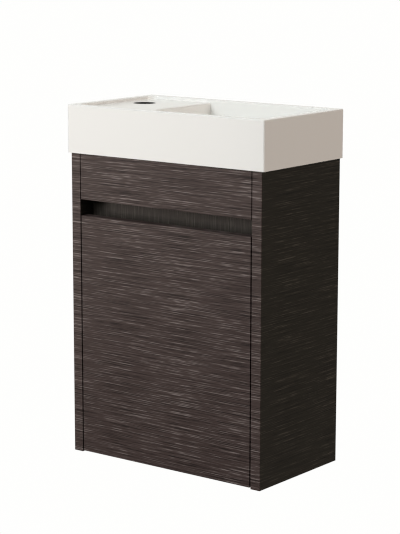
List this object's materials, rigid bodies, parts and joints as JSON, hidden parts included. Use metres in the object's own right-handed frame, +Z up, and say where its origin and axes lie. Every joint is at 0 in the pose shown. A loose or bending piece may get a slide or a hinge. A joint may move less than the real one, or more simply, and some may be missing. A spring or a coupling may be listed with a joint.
{
  "type": "cloakroom vanity unit",
  "caption": "Narrow wall-hung cloakroom vanity: white box basin with a side tap ledge on a dark wood-grain cabinet with a hinged door under a finger-pull slot.",
  "frame": {"origin": "on the wall plane, midway between the two wall-fixing holes in the rear top rail", "axes": "+Z up, +Y towards the wall, +X to the right as seen from the front"},
  "size_m": [0.4, 0.22, 0.59],
  "materials": {
    "white_glaze": "smooth white satin glaze",
    "dark_wood_front": "dark grey-brown wood-grain laminate, fine pale horizontal streaks",
    "dark_wood_carcass": "dark grey-brown wood-grain laminate on board",
    "bare_chipboard": "raw chipboard",
    "beech": "fluted beech",
    "zinc_alloy": "die-cast zinc",
    "plated_steel": "nickel-plated steel",
    "brown_plastic": "moulded brown plastic",
    "ferrite": "dark grey ferrite"
  },
  "bodies": {
    "cabinet": {"basin": "white_glaze", "left_side_panel": "dark_wood_carcass", "right_side_panel": "dark_wood_carcass", "side_edge_bands": "dark_wood_carcass", "bottom_panel": "dark_wood_carcass", "bottom_panel_edge_band": "dark_wood_carcass", "rear_top_rail": "dark_wood_carcass", "rear_bottom_rail": "dark_wood_carcass", "finger_recess_board": "dark_wood_carcass", "recess_board_edge_band": "dark_wood_carcass", "front_fascia": "dark_wood_front", "fascia_edge_bands": "dark_wood_front", "fascia_packing_batten": "bare_chipboard", "fascia_screws": "plated_steel", "cam_discs": "zinc_alloy", "cam_bolts": "plated_steel", "wood_dowels": "beech", "shelf": "dark_wood_carcass", "shelf_edge_band": "dark_wood_carcass", "shelf_pins": "plated_steel", "upper_hinge_mounting_plate": "plated_steel", "lower_hinge_mounting_plate": "plated_steel", "hinge_plate_screws": "plated_steel", "upper_hinge_arm": "plated_steel", "lower_hinge_arm": "plated_steel", "hinge_arm_screws": "plated_steel", "magnetic_catch_housing": "brown_plastic", "catch_magnet": "ferrite", "catch_screws": "plated_steel"},
    "door": {"door_panel": "dark_wood_front", "door_edge_bands": "dark_wood_front", "upper_hinge_cup": "plated_steel", "lower_hinge_cup": "plated_steel", "hinge_pins": "plated_steel", "hinge_cup_screws": "plated_steel", "catch_strike_plate": "plated_steel", "strike_plate_screws": "plated_steel"}
  },
  "joints": [
    {"name": "door_hinge", "type": "hinge", "parent": "cabinet", "child": "door", "pos_m": [-0.1533, -0.2085, 0], "axis": [0, 0, -1], "range_deg": [0, 95]}
  ]
}
